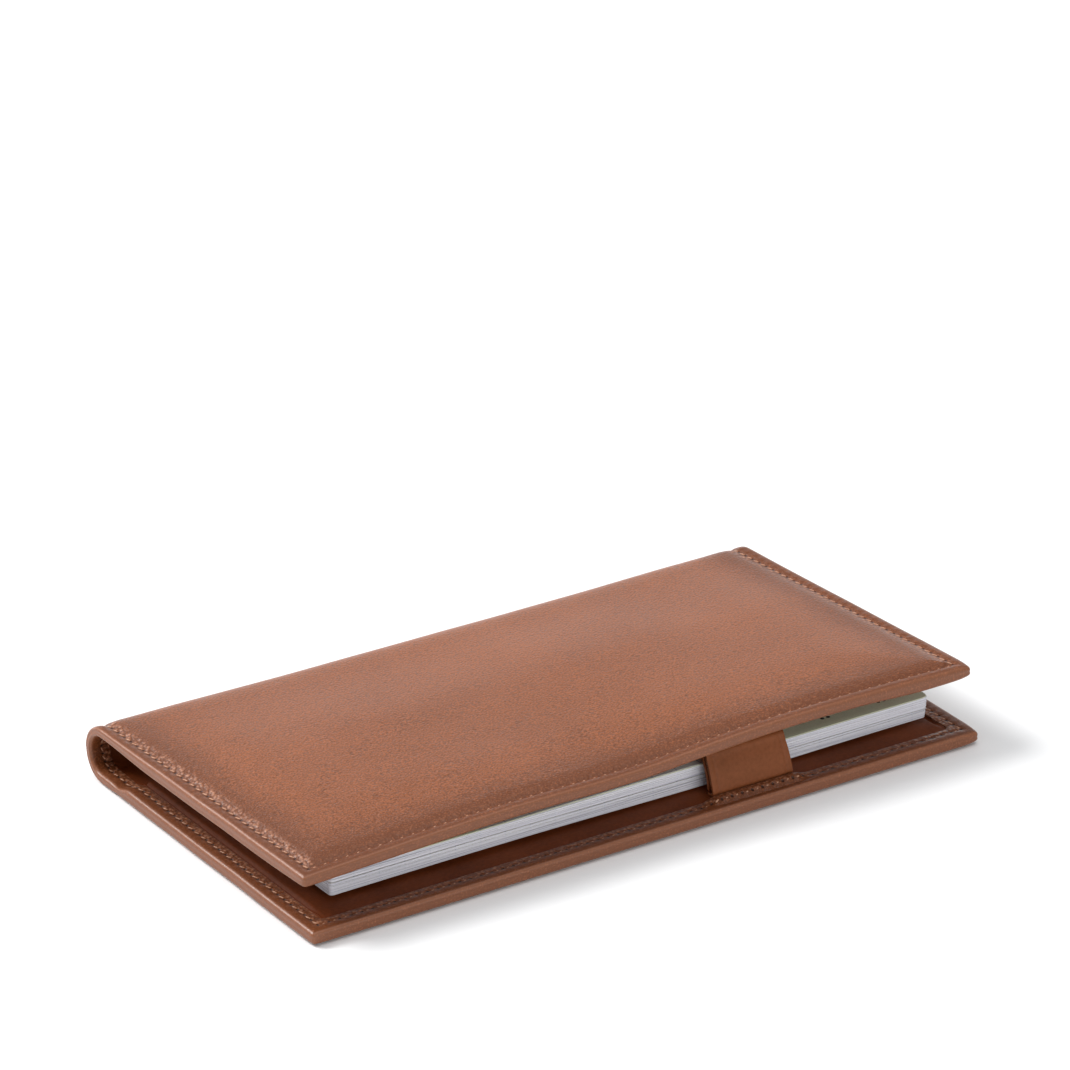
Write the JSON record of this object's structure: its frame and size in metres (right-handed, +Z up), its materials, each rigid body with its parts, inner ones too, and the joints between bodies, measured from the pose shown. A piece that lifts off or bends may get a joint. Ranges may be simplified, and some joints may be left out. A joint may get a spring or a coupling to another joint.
{
  "type": "leather notebook cover",
  "caption": "Folding leather cover for a slim pocket notebook, with inner sleeve pockets, a pen loop at the fore edge, a padded front and a sewn paper refill.",
  "frame": {"origin": "middle of the bounding box's underside, where the back cover lies on the table", "axes": "+X along the spine, +Y from the fore edge to the spine, +Z up through the closed cover"},
  "size_m": [0.178, 0.0982, 0.0185],
  "materials": {
    "tan_leather": "satin, fine pebbled grain, aniline dyed",
    "loop_leather": "satin, fine grain",
    "lining_leather": "matt, split leather",
    "felt_padding": "soft felt",
    "greyboard": "matt",
    "seam_thread": "waxed polyester thread",
    "sage_card": "matt printed card",
    "paper": "uncoated",
    "binding_thread": "twisted thread"
  },
  "bodies": {
    "back": {"outer_leather_back": "tan_leather", "padding_back": "felt_padding", "board_back": "greyboard", "lining_back": "lining_leather", "pocket_back": "lining_leather", "thread_back": "seam_thread", "pen_loop_foot": "loop_leather", "refill_back_card": "sage_card", "section_1": "paper", "section_2": "paper", "section_3": "paper", "section_4": "paper", "section_thread_lower": "binding_thread"},
    "spine": {"outer_leather_spine": "tan_leather", "lining_spine": "lining_leather", "thread_spine": "seam_thread"},
    "front": {"outer_leather_front": "tan_leather", "padding_front": "felt_padding", "board_front": "greyboard", "lining_front": "lining_leather", "pocket_front": "lining_leather", "thread_front": "seam_thread"},
    "loop": {"pen_loop": "loop_leather"},
    "upper_section_a": {"section_5": "paper", "section_thread_5": "binding_thread"},
    "upper_section_b": {"section_6": "paper", "section_thread_6": "binding_thread"},
    "upper_section_c": {"section_7": "paper", "section_thread_7": "binding_thread"},
    "refill_front": {"refill_front_card": "sage_card"}
  },
  "joints": [
    {"name": "front_fold", "type": "hinge", "parent": "spine", "child": "front", "pos_m": [0, 0.04762, 0.0125], "axis": [-1, 0, 0], "range_deg": [0, 87.7]},
    {"name": "spine_roll", "type": "hinge", "parent": "back", "child": "spine", "pos_m": [0, 0.04762, 0.0015], "axis": [-1, 0, 0], "range_deg": [0, 88.2]},
    {"name": "loop_fold", "type": "hinge", "parent": "back", "child": "loop", "pos_m": [0, -0.04378, 0.0046], "axis": [1, 0, 0], "range_deg": [0, 60]},
    {"name": "upper_section_a_turn", "type": "hinge", "parent": "back", "child": "upper_section_a", "pos_m": [0, 0.04267, 0.00648], "axis": [-1, 0, 0], "range_deg": [0, 179]},
    {"name": "upper_section_b_turn", "type": "hinge", "parent": "back", "child": "upper_section_b", "pos_m": [0, 0.04267, 0.00648], "axis": [-1, 0, 0], "range_deg": [0, 179]},
    {"name": "upper_section_c_turn", "type": "hinge", "parent": "back", "child": "upper_section_c", "pos_m": [0, 0.04267, 0.00648], "axis": [-1, 0, 0], "range_deg": [0, 179]},
    {"name": "refill_front_turn", "type": "hinge", "parent": "back", "child": "refill_front", "pos_m": [0, 0.04267, 0.00648], "axis": [-1, 0, 0], "range_deg": [0, 179]}
  ],
  "couplings": [
    {"joint": "spine_roll", "follows": "front_fold", "ratio": 1},
    {"joint": "upper_section_a_turn", "follows": "front_fold", "ratio": 1.94},
    {"joint": "upper_section_b_turn", "follows": "front_fold", "ratio": 1.96},
    {"joint": "upper_section_c_turn", "follows": "front_fold", "ratio": 1.98},
    {"joint": "refill_front_turn", "follows": "front_fold", "ratio": 2}
  ]
}
